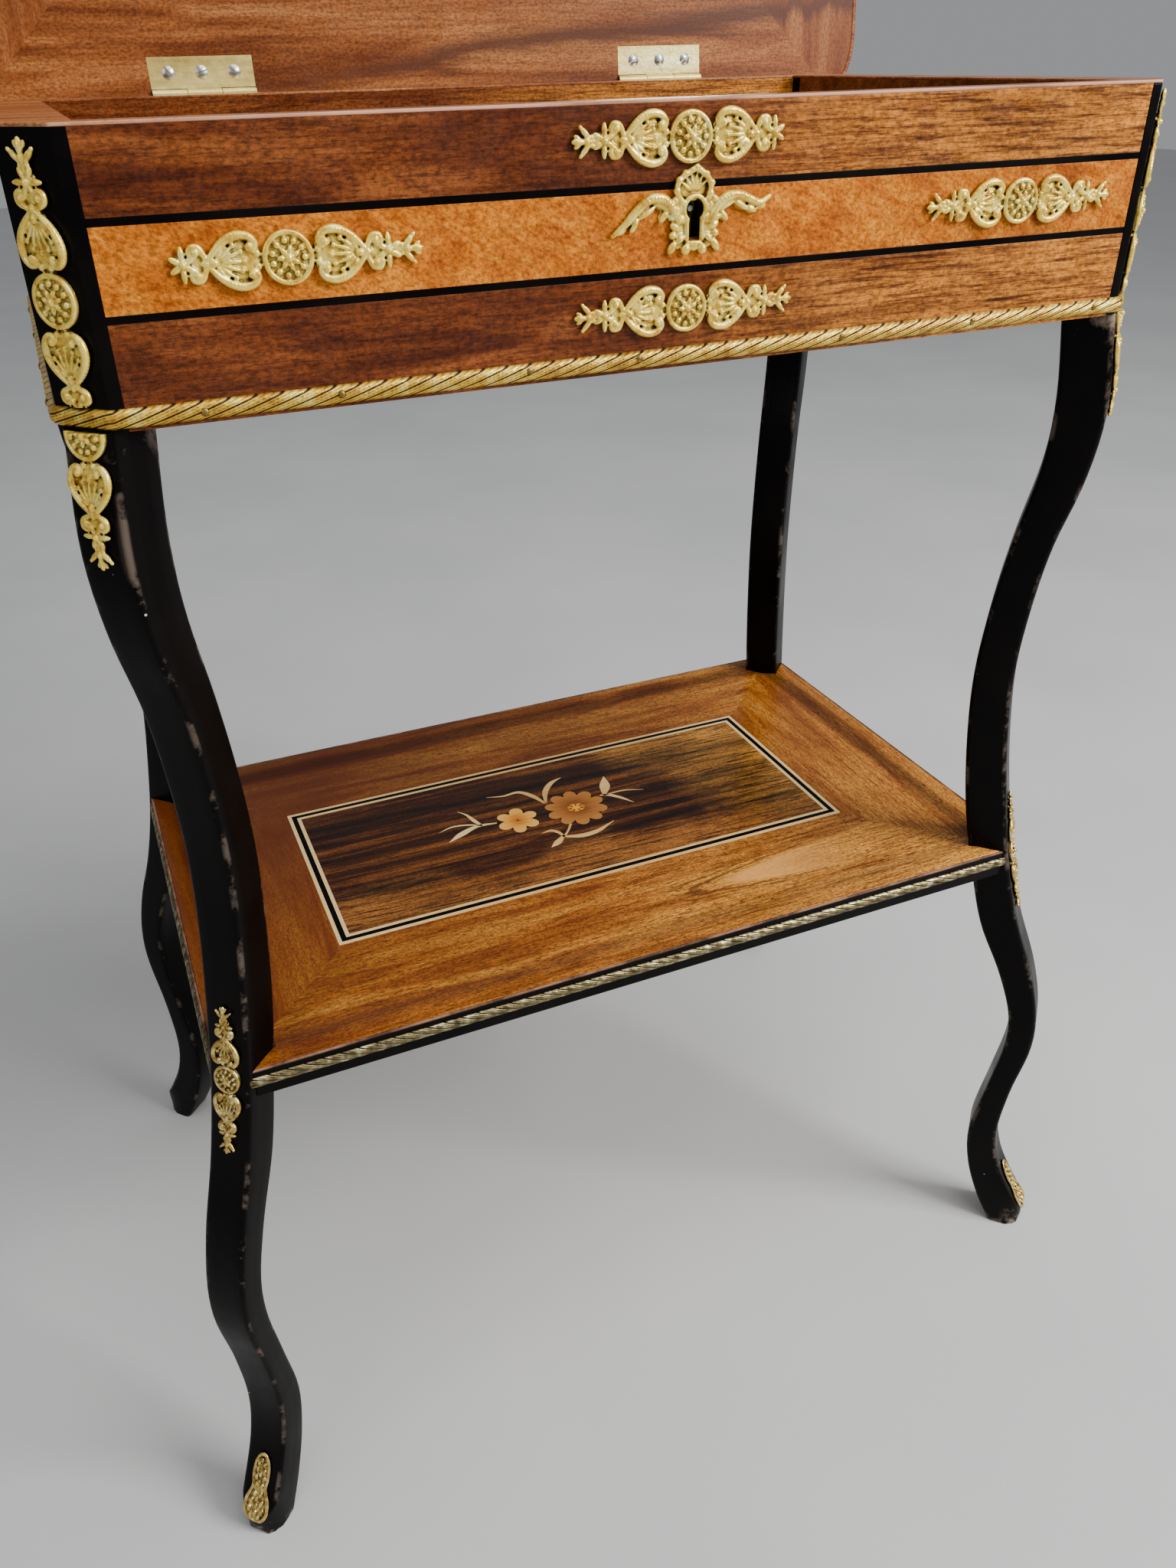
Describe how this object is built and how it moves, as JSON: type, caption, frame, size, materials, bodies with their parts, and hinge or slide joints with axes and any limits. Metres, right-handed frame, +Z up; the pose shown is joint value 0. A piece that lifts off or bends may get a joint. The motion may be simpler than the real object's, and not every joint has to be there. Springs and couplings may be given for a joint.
{
  "type": "dressing table",
  "caption": "Small dressing table with a veneered lift-lid case on black cabriole legs, a dished lower shelf with marquetry, rope mouldings and gilt mounts.",
  "frame": {"origin": "on the floor under the centre of the case; with the lid standing open this is under the middle of the whole object to within a few millimetres", "axes": "+X along the front to the right hand of a person facing it, +Y from the front to the back, +Z up"},
  "size_m": [0.567, 0.3826, 1.0454],
  "materials": {
    "ebonised_wood": "black, satin polish, worn at the edges",
    "carcase_wood": "stained, matt",
    "dark_veneer": "red-brown veneer, varnished",
    "light_veneer": "golden veneer, varnished",
    "border_veneer": "orange-brown veneer, polished",
    "rosewood_veneer": "dark streaked veneer, polished",
    "boxwood_inlay": "pale inlay, polished",
    "gilt_brass": "gilt, dark in the hollows",
    "aged_brass": "tarnished",
    "hinge_brass": "dull, flat",
    "steel": "dull",
    "mirror_glass": "silvered"
  },
  "bodies": {
    "table": {"leg_front_left": "ebonised_wood", "leg_front_right": "ebonised_wood", "leg_back_right": "ebonised_wood", "leg_back_left": "ebonised_wood", "corner_post_front_left": "ebonised_wood", "corner_post_front_right": "ebonised_wood", "corner_post_back_right": "ebonised_wood", "corner_post_back_left": "ebonised_wood", "case_stringing": "ebonised_wood", "shelf_edge_moulding": "ebonised_wood", "leg_pegs": "carcase_wood", "case_front": "carcase_wood", "case_back": "carcase_wood", "case_left": "carcase_wood", "case_right": "carcase_wood", "case_bottom": "carcase_wood", "case_rim": "dark_veneer", "front_veneer_top": "dark_veneer", "front_veneer_bottom": "dark_veneer", "side_veneer_left": "dark_veneer", "side_veneer_right": "dark_veneer", "front_veneer_middle": "light_veneer", "shelf_board": "border_veneer", "shelf_field_veneer": "rosewood_veneer", "shelf_marquetry": "boxwood_inlay", "shelf_stringing": "boxwood_inlay", "base_rope_moulding": "gilt_brass", "keyhole_plate": "gilt_brass", "mount_front_top": "gilt_brass", "mount_front_bottom": "gilt_brass", "mount_front_left": "gilt_brass", "mount_front_right": "gilt_brass", "mount_post_front_left": "gilt_brass", "mount_post_front_right": "gilt_brass", "mount_knee_front_left": "gilt_brass", "mount_knee_front_right": "gilt_brass", "mount_shelf_front_left": "gilt_brass", "mount_shelf_front_right": "gilt_brass", "mount_toe_front_left": "gilt_brass", "mount_toe_front_right": "gilt_brass", "shelf_rope_trim": "aged_brass", "hinge_case_leaf_left": "hinge_brass", "hinge_case_leaf_right": "hinge_brass", "lock_case": "hinge_brass", "hinge_pins": "steel", "case_screws": "steel", "shelf_screws": "steel", "lock_drill_pin": "steel"},
    "lid": {"hinge_lid_leaf_left": "hinge_brass", "hinge_lid_leaf_right": "hinge_brass", "lid_strike_plate": "hinge_brass", "lid_screws": "steel", "lid_under_veneer": "dark_veneer", "lid_board": "carcase_wood", "lid_inlay": "boxwood_inlay", "lid_top_veneer": "border_veneer", "lid_edge_moulding": "dark_veneer", "lid_mirror": "mirror_glass", "lid_mirror_bead": "aged_brass"},
    "bolt": {"lock_bolt": "steel"}
  },
  "joints": [
    {"name": "lid_hinge", "type": "hinge", "parent": "table", "child": "lid", "pos_m": [0, 0.1505, 0.72015], "axis": [1, 0, 0], "range_deg": [0, 95]},
    {"name": "bolt_slide", "type": "slide", "parent": "table", "child": "bolt", "axis": [1, 0, 0], "range_m": [0, 0.008]}
  ]
}
